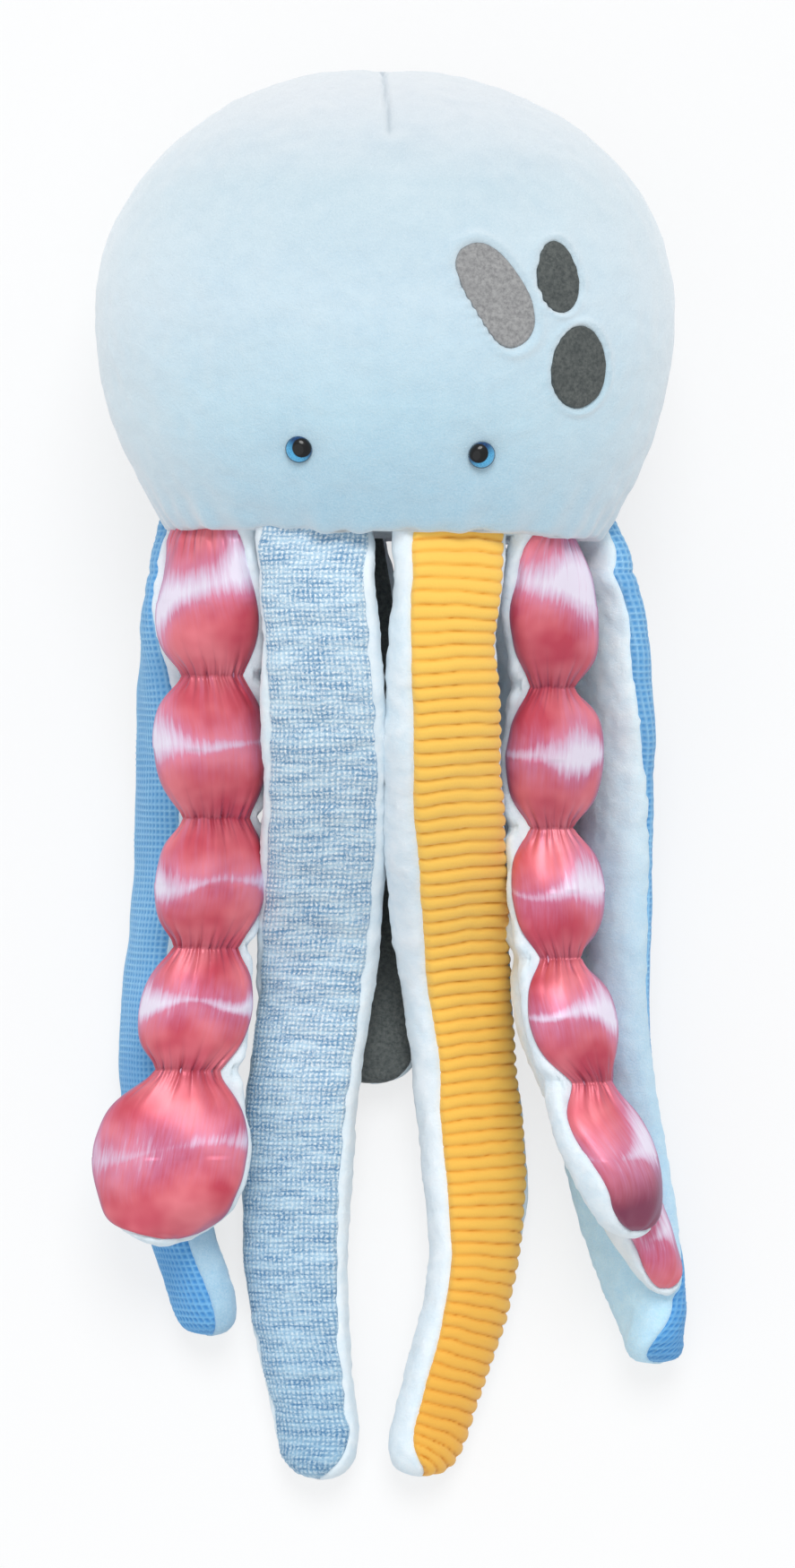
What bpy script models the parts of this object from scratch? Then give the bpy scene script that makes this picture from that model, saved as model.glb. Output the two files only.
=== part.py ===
"""Plush jellyfish, lying on its back with its face up.

A stuffed bell-shaped head carries two domed eyes and three inset oval patches. Eight stuffed
tentacles are sewn round its lower rim. Each has a plush body and a fabric face sewn over its
front: one knitted, one of padded ribs, three of satin gathered into beads, two of waffle cloth
and one of short grey pile. The head points to +Y, the tentacles lie towards -Y and the face
looks up. Each tentacle droops from the rim and lies on the floor or on what lies under it.
"""

import math

import bmesh
import bpy
import numpy as np
from mathutils import Vector

# Sizes are in metres, angles in degrees.

# Head: an ellipse above its widest line and a curved skirt below it, down to the rim
HEAD_WIDTH = 0.330
HEAD_DEPTH = 0.244
CROWN_HEIGHT = 0.1285
SKIRT_HEIGHT = 0.1335
RIM_WIDTH = 0.242
RIM_DEPTH = 0.182
RIM_ROUND = 0.006
HEAD_FLAT = 0.008
HEAD_SIDES = 36
CROWN_RINGS = 11
SKIRT_RINGS = 9

# Patches let into the head: centre, length, width, lean of the long axis, egg shape
PATCH_THICKNESS = 0.0012
PATCHES = {
    "grey_patch_light": {"at": (0.0584, 0.1277), "size": (0.061, 0.029), "lean": 30, "egg": 0.16},
    "grey_patch_upper": {"at": (0.0955, 0.1379), "size": (0.042, 0.022), "lean": 8, "egg": 0.06},
    "grey_patch_lower": {"at": (0.1074, 0.0884), "size": (0.047, 0.030), "lean": -6, "egg": 0.04},
}

# Eyes: low clear domes, placed by where they stand seen from the front
EYE_WIDTH = 0.015
EYE_HEIGHT = 0.0055
EYES = {"eye_left": (-0.0478, 0.0418), "eye_right": (0.0536, 0.0388)}

# Clearances: between touching fabrics, between crossing tentacles, between sewn roots
TOUCH = 0.0003
PATCH_TOUCH = 0.0005
LIE_CLEARANCE = 0.001
ROOT_GAP = 0.007

# What all tentacles share
ROOT_THICKNESS = 0.018
ROOT_LENGTH = 0.050
SETTLE_SPAN = 0.044
FACE_THICKNESS = 0.0012
SECTION_SQUARENESS = 0.85
PLAIN_STATIONS = 14
TAPER_START = 0.6
PLAIN_COLUMNS = 4
BEAD_COLUMNS = 6
BACK_POINTS = 5

# Padded ribs across the ribbed face
RIB_PITCH = 0.0073
RIB_HEIGHT = 0.0022

# Satin gathers: how wide and thick a neck is beside its bead, how high its pleats stand, how
# full a bead is between its necks, and the part of a first bead that the root cuts off
NECK_WIDTH_SHARE = 0.62
NECK_THICKNESS_SHARE = 0.55
PLEAT_HEIGHT = 0.0014
BEAD_FULLNESS = 0.6
BEAD_SEWN_OFF = 0.25

# Each tentacle: place of its root round the rim (0 is the front), reach below the rim, width,
# thickness, width left at the tip, sideways drift and turn of its face, both given at shares
# of its reach, and how far below the rim it has come down. They are laid in this order.
TENTACLES = {
    "waffle_left": {
        "root": -112.5, "reach": 0.461, "width": 0.056, "thickness": 0.030, "tip": 0.80, "sag": 0.20,
        "drift": [(0, 0), (0.015, -0.016), (0.05, -0.025), (0.13, -0.026), (0.4, -0.027), (0.68, -0.037),
                  (0.85, -0.026), (1, 0.001)],
        "turn": [(0.15, -84), (0.6, -68), (1, -66)], "edge": 18},
    "waffle_right": {
        "root": 112.5, "reach": 0.477, "width": 0.060, "thickness": 0.028, "tip": 0.90, "sag": 0.20,
        "drift": [(0, 0), (0.015, 0.020), (0.05, 0.029), (0.13, 0.031), (0.4, 0.033), (0.66, 0.030),
                  (0.84, 0.044), (1, 0.064)],
        "turn": [(0.3, 122), (0.6, 134), (0.8, 160), (0.9, 140), (1, 106)], "edge": 18},
    "grey_rear": {
        "root": -157.5, "reach": 0.317, "width": 0.058, "thickness": 0.029, "tip": 0.85, "sag": 0.16,
        "drift": [(0, 0), (0.25, 0.026), (0.6, 0.031), (1, 0.034)],
        "turn": [(0, 0), (1, 0)], "edge": 18},
    "satin_rear": {
        "root": 157.5, "reach": 0.437, "width": 0.048, "thickness": 0.030, "sag": 0.16,
        "drift": [(0, 0), (0.2, 0.038), (0.4, 0.046), (0.6, 0.056), (0.8, 0.081), (1, 0.124)],
        "turn": [(0.3, 40), (0.7, 20), (1, 25)], "edge": 24,
        "necks": [0.085, 0.165, 0.243, 0.322], "last": 0.62},
    "knit": {
        "root": -22.5, "reach": 0.545, "width": 0.062, "thickness": 0.034, "tip": 0.82, "sag": 0.30,
        "drift": [(0, 0), (0.2, 0.008), (0.42, 0.004), (0.62, -0.009), (0.8, -0.012), (1, 0.002)],
        "turn": [(0.25, -20), (1, -20)], "edge": 20},
    "ribbed": {
        "root": 22.5, "reach": 0.5425, "width": 0.057, "thickness": 0.034, "tip": 0.72, "sag": 0.30,
        "drift": [(0, 0), (0.1, -0.008), (0.2, -0.012), (0.4, -0.008), (0.65, 0.009), (0.77, 0.012),
                  (0.9, -0.006), (1, -0.025)],
        "turn": [(0.25, 28), (1, 30)], "edge": 24},
    "satin_left": {
        "root": -67.5, "reach": 0.4067, "width": 0.060, "thickness": 0.036, "sag": 0.24,
        "drift": [(0, 0), (0.2, -0.003), (0.4, -0.001), (0.65, -0.010), (0.82, -0.021), (1, -0.034)],
        "turn": [(0.15, -16), (1, -8)], "edge": 24,
        "necks": [0.084, 0.163, 0.236, 0.311], "last": 1.42},
    "satin_right": {
        "root": 67.5, "reach": 0.4006, "width": 0.052, "thickness": 0.034, "sag": 0.24,
        "drift": [(0, 0), (0.2, -0.001), (0.4, -0.003), (0.6, 0.002), (0.8, 0.015), (1, 0.050)],
        "turn": [(0.15, 22), (0.6, 26), (0.8, 36), (1, 66)], "edge": 24,
        "necks": [0.092, 0.168, 0.243, 0.316], "last": 1.05},
}

# Colour, roughness and metallic value of each fabric
FINISHES = {
    "pale_plush": ((0.56, 0.74, 0.84, 1), 0.95, 0.0),
    "light_grey_pile": ((0.33, 0.33, 0.33, 1), 0.9, 0.0),
    "dark_grey_pile": ((0.10, 0.11, 0.105, 1), 0.9, 0.0),
    "eye_gloss": ((0.02, 0.05, 0.10, 1), 0.1, 0.0),
    "melange_knit": ((0.42, 0.56, 0.66, 1), 0.95, 0.0),
    "yellow_rib": ((0.90, 0.53, 0.10, 1), 0.85, 0.0),
    "coral_satin": ((0.70, 0.12, 0.16, 1), 0.35, 0.2),
    "blue_waffle": ((0.11, 0.32, 0.60, 1), 0.9, 0.0),
}
FACE_FINISH = {"knit": "melange_knit", "ribbed": "yellow_rib", "waffle": "blue_waffle",
               "satin": "coral_satin", "grey": "dark_grey_pile"}

HEAD_CENTRE_HEIGHT = HEAD_DEPTH / 2 - HEAD_FLAT
LIE_CELL = 0.002
SECTION_SAMPLES = 72


def clear_scene():
    for item in list(bpy.data.objects):
        bpy.data.objects.remove(item, do_unlink=True)


def material(name):
    found = bpy.data.materials.get(name)
    if found:
        return found
    colour, roughness, metallic = FINISHES[name]
    made = bpy.data.materials.new(name)
    made.use_nodes = True
    shader = made.node_tree.nodes["Principled BSDF"]
    shader.inputs["Base Color"].default_value = colour
    shader.inputs["Roughness"].default_value = roughness
    shader.inputs["Metallic"].default_value = metallic
    return made


def add_object(name, bm, finish, parent):
    """Turn a finished bmesh into a named object under the part's empty."""
    bmesh.ops.recalc_face_normals(bm, faces=bm.faces)
    mesh = bpy.data.meshes.new(name)
    bm.to_mesh(mesh)
    bm.free()
    mesh.shade_smooth()
    mesh.set_sharp_from_angle(angle=math.radians(50))
    mesh.materials.append(material(finish))
    item = bpy.data.objects.new(name, mesh)
    item.parent = parent
    bpy.context.scene.collection.objects.link(item)
    return item


def smoothstep(value):
    share = np.clip(value, 0.0, 1.0)
    return share * share * (3 - 2 * share)


def smooth_curve(points, at):
    """Smooth curve through (share, value) points, level at its start."""
    shares, values = np.array(points, float).T
    slopes = np.gradient(values, shares)
    slopes[0] = 0.0
    first = np.clip(np.searchsorted(shares, at, side="right") - 1, 0, len(shares) - 2)
    gap = shares[first + 1] - shares[first]
    u = np.clip((at - shares[first]) / gap, 0.0, 1.0)
    start = (1 + 2 * u) * (1 - u) ** 2 * values[first] + u * (1 - u) ** 2 * gap * slopes[first]
    end = u * u * (3 - 2 * u) * values[first + 1] - u * u * (1 - u) * gap * slopes[first + 1]
    return start + end


def head_half(y, widest, rim):
    """Half the head's width or depth at height y above the rim."""
    if y >= SKIRT_HEIGHT:
        rise = min((y - SKIRT_HEIGHT) / CROWN_HEIGHT, 1.0)
        return widest / 2 * math.sqrt(1 - rise * rise)
    drop = (SKIRT_HEIGHT - y) / SKIRT_HEIGHT
    return (widest - (widest - rim) * drop * drop) / 2


def head_ring(y, inset=0.0):
    """One ring of the head's outline, pressed flat where it lies on the floor."""
    half_width = head_half(y, HEAD_WIDTH, RIM_WIDTH) - inset
    half_depth = head_half(y, HEAD_DEPTH, RIM_DEPTH) - inset
    ring = []
    for i in range(HEAD_SIDES):
        angle = 2 * math.pi * i / HEAD_SIDES
        height = HEAD_CENTRE_HEIGHT + half_depth * math.cos(angle)
        ring.append((half_width * math.sin(angle), y, max(height, 0.0)))
    return ring


def head_front(x, y):
    """Point on the front of the head above the plan position (x, y)."""
    half_width = head_half(y, HEAD_WIDTH, RIM_WIDTH)
    half_depth = head_half(y, HEAD_DEPTH, RIM_DEPTH)
    rise = math.sqrt(max(1 - (x / half_width) ** 2, 0.0))
    return Vector((x, y, HEAD_CENTRE_HEIGHT + half_depth * rise))


def head_normal(x, y):
    step = 0.001
    along_x = head_front(x + step, y) - head_front(x - step, y)
    along_y = head_front(x, y + step) - head_front(x, y - step)
    return along_x.cross(along_y).normalized()


def strip(bm, first, second, closed=False):
    """Triangles between two rows of as many vertices each."""
    count = len(first)
    for i in range(count if closed else count - 1):
        j = (i + 1) % count
        bm.faces.new((first[i], first[j], second[j]))
        bm.faces.new((first[i], second[j], second[i]))


def add_row(bm, points):
    return [bm.verts.new(point) for point in points]


def make_head(parent):
    bm = bmesh.new()
    rings = [head_ring(0.0, RIM_ROUND), head_ring(0.3 * RIM_ROUND, 0.3 * RIM_ROUND)]
    for i in range(SKIRT_RINGS):
        y = RIM_ROUND + (SKIRT_HEIGHT - RIM_ROUND) * i / SKIRT_RINGS
        rings.append(head_ring(y))
    for i in range(CROWN_RINGS):
        rings.append(head_ring(SKIRT_HEIGHT + CROWN_HEIGHT * math.sin(math.pi / 2 * i / CROWN_RINGS)))
    rows = [add_row(bm, ring) for ring in rings]
    for first, second in zip(rows, rows[1:]):
        strip(bm, first, second, closed=True)
    bm.faces.new(rows[0])
    crown = bm.verts.new((0.0, SKIRT_HEIGHT + CROWN_HEIGHT, HEAD_CENTRE_HEIGHT))
    for i, vertex in enumerate(rows[-1]):
        bm.faces.new((vertex, rows[-1][(i + 1) % HEAD_SIDES], crown))
    return add_object("head", bm, "pale_plush", parent)


def patch_outline(size, lean, egg, share, sides):
    """Egg-shaped ring in plan, its narrow end up, leaning with its long axis."""
    length, width = size
    turn = math.radians(lean)
    ring = []
    for i in range(sides):
        angle = 2 * math.pi * i / sides
        along = share * length / 2 * math.cos(angle)
        across = share * width / 2 * math.sin(angle) * (1 - egg * 2 * math.cos(angle))
        ring.append((across * math.cos(turn) - along * math.sin(turn),
                     across * math.sin(turn) + along * math.cos(turn)))
    return ring


def make_patch(name, spec, parent):
    """Thin oval of pile fabric lying on the front of the head."""
    sides = 16
    bm = bmesh.new()
    centre_x, centre_y = spec["at"]
    layers = []
    for lift in (PATCH_TOUCH, PATCH_TOUCH + PATCH_THICKNESS):
        rows = []
        for share in (1.0, 0.5):
            outline = patch_outline(spec["size"], spec["lean"], spec["egg"], share, sides)
            places = [(centre_x + dx, centre_y + dy) for dx, dy in outline]
            rows.append(add_row(bm, [head_front(x, y) + head_normal(x, y) * lift for x, y in places]))
        middle = head_front(centre_x, centre_y) + head_normal(centre_x, centre_y) * lift
        hub = bm.verts.new(middle)
        strip(bm, rows[0], rows[1], closed=True)
        for i, vertex in enumerate(rows[1]):
            bm.faces.new((vertex, rows[1][(i + 1) % sides], hub))
        layers.append(rows[0])
    strip(bm, layers[0], layers[1], closed=True)
    finish = "light_grey_pile" if name.endswith("light") else "dark_grey_pile"
    return add_object(name, bm, finish, parent)


def make_eye(name, place, parent):
    """Low dome with a short straight foot, its flat back on the head."""
    sides = 16
    foot = 0.0012
    bm = bmesh.new()
    profile = [(EYE_WIDTH / 2, 0.0), (EYE_WIDTH / 2, foot)]
    for degrees in (30, 55, 75):
        angle = math.radians(degrees)
        profile.append((EYE_WIDTH / 2 * math.cos(angle), foot + (EYE_HEIGHT - foot) * math.sin(angle)))
    rows = []
    for radius, height in profile:
        angles = [2 * math.pi * i / sides for i in range(sides)]
        rows.append(add_row(bm, [(radius * math.cos(a), radius * math.sin(a), height) for a in angles]))
    for first, second in zip(rows, rows[1:]):
        strip(bm, first, second, closed=True)
    bm.faces.new(rows[0])
    top = bm.verts.new((0.0, 0.0, EYE_HEIGHT))
    for i, vertex in enumerate(rows[-1]):
        bm.faces.new((vertex, rows[-1][(i + 1) % sides], top))
    eye = add_object(name, bm, "eye_gloss", parent)
    normal = head_normal(*place)
    eye.location = head_front(*place) + normal * PATCH_TOUCH
    eye.rotation_euler = normal.to_track_quat("Z", "Y").to_euler()
    return eye


def root_ring_half():
    """Half width and half depth of the ring that the roots' middles stand on."""
    inset = RIM_ROUND + ROOT_THICKNESS / 2 + FACE_THICKNESS
    return RIM_WIDTH / 2 - inset, RIM_DEPTH / 2 - inset


def root_place(degrees):
    half_width, half_depth = root_ring_half()
    angle = math.radians(degrees)
    return half_width * math.sin(angle), HEAD_CENTRE_HEIGHT + half_depth * math.cos(angle)


def root_turn(degrees):
    """Angle from straight up of the rim's outward direction at a root."""
    half_width, half_depth = root_ring_half()
    angle = math.radians(degrees)
    return math.degrees(math.atan2(math.sin(angle) / half_width, math.cos(angle) / half_depth))


def root_width(degrees):
    """Width that leaves a gap to the nearest roots on either side."""
    here = np.array(root_place(degrees))
    chords = []
    for other in TENTACLES.values():
        distance = np.linalg.norm(here - np.array(root_place(other["root"])))
        if distance > LIE_CELL:
            chords.append(distance)
    return min(chords) - ROOT_GAP


def bead_share(spec, distance):
    """Place along a string of beads: which bead, and how full it is there, from 0 to 1."""
    bounds = [0.0] + spec["necks"] + [spec["reach"]]
    number = int(np.clip(np.searchsorted(bounds, distance, side="right") - 1, 0, len(bounds) - 2))
    along = (distance - bounds[number]) / (bounds[number + 1] - bounds[number])
    if number == 0:
        along = BEAD_SEWN_OFF + (1 - BEAD_SEWN_OFF) * along
    if number == len(bounds) - 2:
        along = min(along, 0.5)
    return number, math.sin(math.pi * min(along, 1.0)) ** BEAD_FULLNESS


def half_sizes(spec, distance):
    """Half width and half thickness of a tentacle's body at a distance below the rim."""
    reach = spec["reach"]
    width = spec["width"]
    thickness = spec["thickness"]
    if "necks" in spec:
        number, fullness = bead_share(spec, distance)
        if number == len(spec["necks"]):
            width = width * spec["last"]
        neck_width = spec["width"] * NECK_WIDTH_SHARE
        neck_thickness = spec["thickness"] * NECK_THICKNESS_SHARE
        width = neck_width + (width - neck_width) * fullness
        thickness = neck_thickness + (thickness - neck_thickness) * fullness
        tip_radius = (reach - spec["necks"][-1]) * 0.5
    else:
        taper = 1 - (1 - spec["tip"]) * smoothstep((distance / reach - TAPER_START) / (1 - TAPER_START))
        width = width * taper
        thickness = thickness * (1 + taper) / 2
        tip_radius = spec["width"] * spec["tip"] / 2
    sewn = smoothstep(distance / ROOT_LENGTH)
    width = width + (min(root_width(spec["root"]), width) - width) * (1 - sewn)
    thickness = ROOT_THICKNESS + (thickness - ROOT_THICKNESS) * sewn
    into_tip = max(distance - (reach - tip_radius), 0.0) / tip_radius
    rounding = math.sqrt(max(1 - into_tip ** 2, 0.0))
    return width / 2 * rounding, thickness / 2 * math.sqrt(rounding), tip_radius


def section_angles(spec):
    """Angles of the section's points: the face's columns first, then the back's."""
    edge = spec["edge"]
    columns = BEAD_COLUMNS if "necks" in spec else PLAIN_COLUMNS
    front = np.radians(np.linspace(edge, 180 - edge, columns + 1))
    back = np.radians(np.linspace(180 + edge, 360 - edge, BACK_POINTS))
    return front, back


def section_points(angles, half_width, half_thickness):
    """Flat outline of a stuffed tube: across and outwards."""
    across = np.sign(np.cos(angles)) * np.abs(np.cos(angles)) ** SECTION_SQUARENESS
    outward = np.sign(np.sin(angles)) * np.abs(np.sin(angles)) ** SECTION_SQUARENESS
    return across * half_width, outward * half_thickness


class Heap:
    """Heights of what already lies on the floor, on a square grid seen from above."""

    def __init__(self):
        longest = max(spec["reach"] for spec in TENTACLES.values())
        self.side = HEAD_WIDTH + longest
        count = int(2 * self.side / LIE_CELL)
        self.heights = np.full((count, count), -LIE_CLEARANCE)

    def cells(self, points):
        return tuple(((points[..., :2] + self.side) / LIE_CELL).astype(int).reshape(-1, 2).T)

    def lift(self, points):
        """How far each row of points has to rise to lie clear of the heap."""
        below = self.heights[self.cells(points)].reshape(points.shape[:2])
        return (below + LIE_CLEARANCE - points[..., 2]).max(axis=1)

    def add(self, points):
        np.maximum.at(self.heights, self.cells(points), points[..., 2].ravel())


def frames_along(places):
    """Directions along, across and outwards of a line that runs mostly towards -Y."""
    along = np.gradient(places, axis=0)
    along[0] = (0.0, -1.0, 0.0)
    along /= np.linalg.norm(along, axis=1, keepdims=True)
    across = np.cross((0.0, 0.0, 1.0), along)
    across /= np.linalg.norm(across, axis=1, keepdims=True)
    return along, across, np.cross(along, across)


def turned(across, outward, turn):
    """Across and outwards once the face is turned by some angle towards +X."""
    cosine = np.cos(turn)[:, None]
    sine = np.sin(turn)[:, None]
    return cosine * across - sine * outward, cosine * outward + sine * across


def outlines(spec, places, turn, distances, angles, side_skin=0.0, front_skin=0.0):
    """Points of the body's section at each place; the skins thicken its face side."""
    _, across, outward = frames_along(places)
    across, outward = turned(across, outward, turn)
    rows = []
    for i, distance in enumerate(distances):
        half_width, half_thickness, _ = half_sizes(spec, distance)
        sideways, forward = section_points(angles, half_width, half_thickness)
        facing = np.clip(3 * np.sin(angles), 0.0, 1.0)
        forward = forward + front_skin * facing
        sideways = sideways + side_skin * facing * np.cos(angles)
        rows.append(places[i] + sideways[:, None] * across[i] + forward[:, None] * outward[i])
    return np.array(rows)


def lay_tentacle(name, spec, heap):
    """Settle a tentacle's middle line on the heap and return it with its turn."""
    reach = spec["reach"]
    count = int(reach / LIE_CELL) + 1
    distances = np.linspace(0.0, reach, count)
    shares = distances / reach
    root_x, root_height = root_place(spec["root"])
    turn_points = spec["turn"]
    if turn_points[0][0] > 0:
        turn_points = [(0.0, root_turn(spec["root"]))] + turn_points
    turn = np.radians(smooth_curve(turn_points, shares))
    drooped = root_height * (1 - smoothstep(distances / spec["sag"]))
    places = np.stack([root_x + smooth_curve(spec["drift"], shares), -TOUCH - distances, drooped], axis=1)
    angles = np.linspace(0, 2 * math.pi, SECTION_SAMPLES, endpoint=False)
    side_skin = FACE_THICKNESS + TOUCH
    if name == "ribbed":
        side_skin += RIB_HEIGHT
    front_skin = side_skin + (PLEAT_HEIGHT if "necks" in spec else 0.0)
    reached = int(SETTLE_SPAN / LIE_CELL)
    lifted = heap.lift(outlines(spec, places, turn, distances, angles, side_skin, front_skin))
    heights = places[:, 2] + np.maximum(lifted, 0.0)
    padded = np.pad(heights, 2 * reached, mode="edge")
    window = 2 * reached + 1
    highest = np.lib.stride_tricks.sliding_window_view(padded, window).max(axis=1)
    settled = np.convolve(highest, np.full(window, 1 / window), mode="valid")
    sewn = smoothstep(distances / SETTLE_SPAN)
    places[:, 2] = root_height + (settled - root_height) * sewn
    heap.add(outlines(spec, places, turn, distances, angles, side_skin, front_skin))
    return distances, places, turn


def station_distances(spec):
    """Where the body's sections stand: closer together at the root, the necks and the tip."""
    reach = spec["reach"]
    _, _, tip_radius = half_sizes(spec, reach)
    if "necks" in spec:
        bounds = [0.0] + spec["necks"]
        stations = []
        for start, end in zip(bounds, bounds[1:]):
            stations += [start + (end - start) * share for share in (0.0, 0.22, 0.5, 0.78)]
        last = spec["necks"][-1]
        stations += [last + (reach - last) * share for share in (0.0, 0.14, 0.32)]
    else:
        body_end = reach - tip_radius
        stations = [body_end * i / PLAIN_STATIONS for i in range(PLAIN_STATIONS)]
    tip_angles = [math.radians(degrees) for degrees in (0, 30, 52, 70, 83)]
    stations += [reach - tip_radius + tip_radius * math.sin(angle) for angle in tip_angles]
    return np.array(stations)


def at_stations(stations, distances, places, turn):
    line = np.stack([np.interp(stations, distances, places[:, axis]) for axis in range(3)], axis=1)
    return line, np.interp(stations, distances, turn)


def grid_normals(points):
    """Outward directions of a grid of points, level with the rim in its first row."""
    down = np.gradient(points, axis=0)
    side = np.gradient(points, axis=1)
    normals = np.cross(side, down)
    normals[0, :, 1] = 0.0
    return normals / np.linalg.norm(normals, axis=2, keepdims=True)


def make_body(name, rings, parent):
    """Stuffed tube closed by a flat sewn root and a small round tip."""
    bm = bmesh.new()
    rows = [add_row(bm, ring) for ring in rings]
    for first, second in zip(rows, rows[1:]):
        strip(bm, first, second, closed=True)
    bm.faces.new(rows[0])
    bm.faces.new(rows[-1])
    return add_object(name + "_tentacle_body", bm, "pale_plush", parent)


def zip_rows(bm, first, first_at, second, second_at):
    """Triangles between two chains whose vertices stand at different distances."""
    i = 0
    j = 0
    while i < len(first) - 1 or j < len(second) - 1:
        step_first = j == len(second) - 1
        if i < len(first) - 1 and j < len(second) - 1:
            step_first = first_at[i + 1] <= second_at[j + 1]
        if step_first:
            bm.faces.new((first[i], first[i + 1], second[j]))
            i += 1
        else:
            bm.faces.new((first[i], second[j + 1], second[j]))
            j += 1


def make_face(name, under, under_at, over, over_at, parent):
    """Closed fabric panel between its under side and its upper side."""
    bm = bmesh.new()
    low = [add_row(bm, row) for row in under]
    high = [add_row(bm, row) for row in over]
    for rows in (low, high):
        for first, second in zip(rows, rows[1:]):
            strip(bm, first, second)
    for column in (0, -1):
        low_edge = [row[column] for row in low]
        high_edge = [row[column] for row in high]
        zip_rows(bm, low_edge, under_at, high_edge, over_at)
    for row in (0, -1):
        strip(bm, low[row], high[row])
    kind = name.split("_")[0]
    return add_object(name + "_tentacle_face", bm, FACE_FINISH[kind], parent)


def rib_rows(grid, normals, stations):
    """Rows of the ribbed face: two for each padded rib, a valley and a crest."""
    length = stations[-1]
    count = 2 * int(round(length / RIB_PITCH))
    rows_at = np.linspace(0.0, length, count + 1)
    crest = np.arange(count + 1) % 2
    rows = []
    for at, rise in zip(rows_at, crest):
        first = int(np.clip(np.searchsorted(stations, at, side="right") - 1, 0, len(stations) - 2))
        share = (at - stations[first]) / (stations[first + 1] - stations[first])
        point = grid[first] * (1 - share) + grid[first + 1] * share
        normal = normals[first] * (1 - share) + normals[first + 1] * share
        rows.append(point + normal * (TOUCH + FACE_THICKNESS + rise * RIB_HEIGHT))
    return np.array(rows), rows_at


def gathered_rows(spec, grid, normals, stations):
    """Upper side of a satin face, pleated towards the necks of its beads."""
    fullness = np.array([bead_share(spec, distance)[1] for distance in stations])
    crests = np.arange(grid.shape[1]) % 2
    pleats = PLEAT_HEIGHT * (1 - fullness)[:, None] * crests[None, :]
    return grid + normals * (TOUCH + FACE_THICKNESS + pleats)[..., None]


def make_tentacle(name, spec, heap, parent):
    distances, places, turn = lay_tentacle(name, spec, heap)
    stations = station_distances(spec)
    line, station_turn = at_stations(stations, distances, places, turn)
    front, back = section_angles(spec)
    rings = outlines(spec, line, station_turn, stations, np.concatenate([front, back]))
    make_body(name, rings, parent)
    face_rows = len(stations) - 1
    face_at = stations[:face_rows]
    grid = rings[:face_rows, :len(front)]
    normals = grid_normals(grid)
    under = grid + normals * TOUCH
    over_at = face_at
    if name == "ribbed":
        over, over_at = rib_rows(grid, normals, face_at)
    elif "necks" in spec:
        over = gathered_rows(spec, grid, normals, face_at)
    else:
        over = grid + normals * (TOUCH + FACE_THICKNESS)
    make_face(name, under, face_at, over, over_at, parent)


def centre_on_floor(parent):
    """Move the part so that the middle of its plan stands at the origin."""
    bpy.context.view_layer.update()
    corners = []
    for item in parent.children:
        corners += [item.matrix_world @ vertex.co for vertex in item.data.vertices]
    low = [min(corner[axis] for corner in corners) for axis in range(3)]
    high = [max(corner[axis] for corner in corners) for axis in range(3)]
    parent.location = (-(low[0] + high[0]) / 2, -(low[1] + high[1]) / 2, -low[2])


def build():
    clear_scene()
    jellyfish = bpy.data.objects.new("jellyfish", None)
    bpy.context.scene.collection.objects.link(jellyfish)
    make_head(jellyfish)
    for name, spec in PATCHES.items():
        make_patch(name, spec, jellyfish)
    for name, place in EYES.items():
        make_eye(name, place, jellyfish)
    heap = Heap()
    for name, spec in TENTACLES.items():
        make_tentacle(name, spec, heap, jellyfish)
    centre_on_floor(jellyfish)


build()
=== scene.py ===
"""Looks of the plush jellyfish: detailed meshes and fabrics over the frame's solids.

The toy lies on its back and the camera looks straight down on it. Every fabric piece is rebuilt
here as a fine mesh that follows the line, the turn and the size of its solid in the frame.
"""

import math

import bmesh
import bpy
import numpy as np
from mathutils import Euler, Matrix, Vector
from mathutils.geometry import convex_hull_2d


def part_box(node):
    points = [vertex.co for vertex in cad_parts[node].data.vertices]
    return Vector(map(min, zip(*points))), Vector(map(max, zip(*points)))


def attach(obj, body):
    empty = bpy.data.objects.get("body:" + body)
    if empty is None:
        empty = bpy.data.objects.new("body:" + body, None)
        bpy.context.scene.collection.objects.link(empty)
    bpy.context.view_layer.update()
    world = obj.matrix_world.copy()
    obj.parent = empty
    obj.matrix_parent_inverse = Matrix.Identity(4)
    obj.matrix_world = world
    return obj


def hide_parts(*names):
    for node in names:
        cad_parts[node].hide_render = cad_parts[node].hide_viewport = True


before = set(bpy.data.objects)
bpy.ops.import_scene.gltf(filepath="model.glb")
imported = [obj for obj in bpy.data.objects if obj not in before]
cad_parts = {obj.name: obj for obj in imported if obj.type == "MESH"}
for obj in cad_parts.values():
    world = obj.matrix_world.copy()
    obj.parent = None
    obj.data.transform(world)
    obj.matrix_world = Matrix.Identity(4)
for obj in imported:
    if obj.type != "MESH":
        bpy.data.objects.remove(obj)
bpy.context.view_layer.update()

# Camera: straight above the middle of the part, with a long lens
PHOTO_HEIGHT = 1750
PIXEL = 0.00051
PIXEL_PLANE = 0.1
CAMERA_HEIGHT = 5.0
CAMERA_PLACE = (0.0024, -0.0019)
SENSOR = 36.0

# Floor, a hair under the toy, and the even light of the room
FLOOR_HALF = 30.0
FLOOR_Z = -0.0008
FLOOR_GLOW = 0.72
ROOM_LIGHT = 0.64

# Mesh spacings, in metres
PLUSH_STEP = 0.0030
KNIT_STEP = 0.00078
WAFFLE_STEP = 0.00088
SATIN_STEP = 0.0011
RIB_STEP = 0.0009
RIB_ACROSS_STEP = 0.0024
GREY_STEP = 0.0022

# Angle from the side at which each face begins, in degrees
EDGES = {"waffle_left": 18, "waffle_right": 18, "grey_rear": 18, "satin_rear": 24,
         "knit": 18, "ribbed": 22, "satin_left": 24, "satin_right": 24}

# The solids' own angles of the same kind: their outlines have no points beyond these
SOLID_EDGES = {**EDGES, "knit": 20, "ribbed": 24}
SQUARENESS = 0.85

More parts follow.
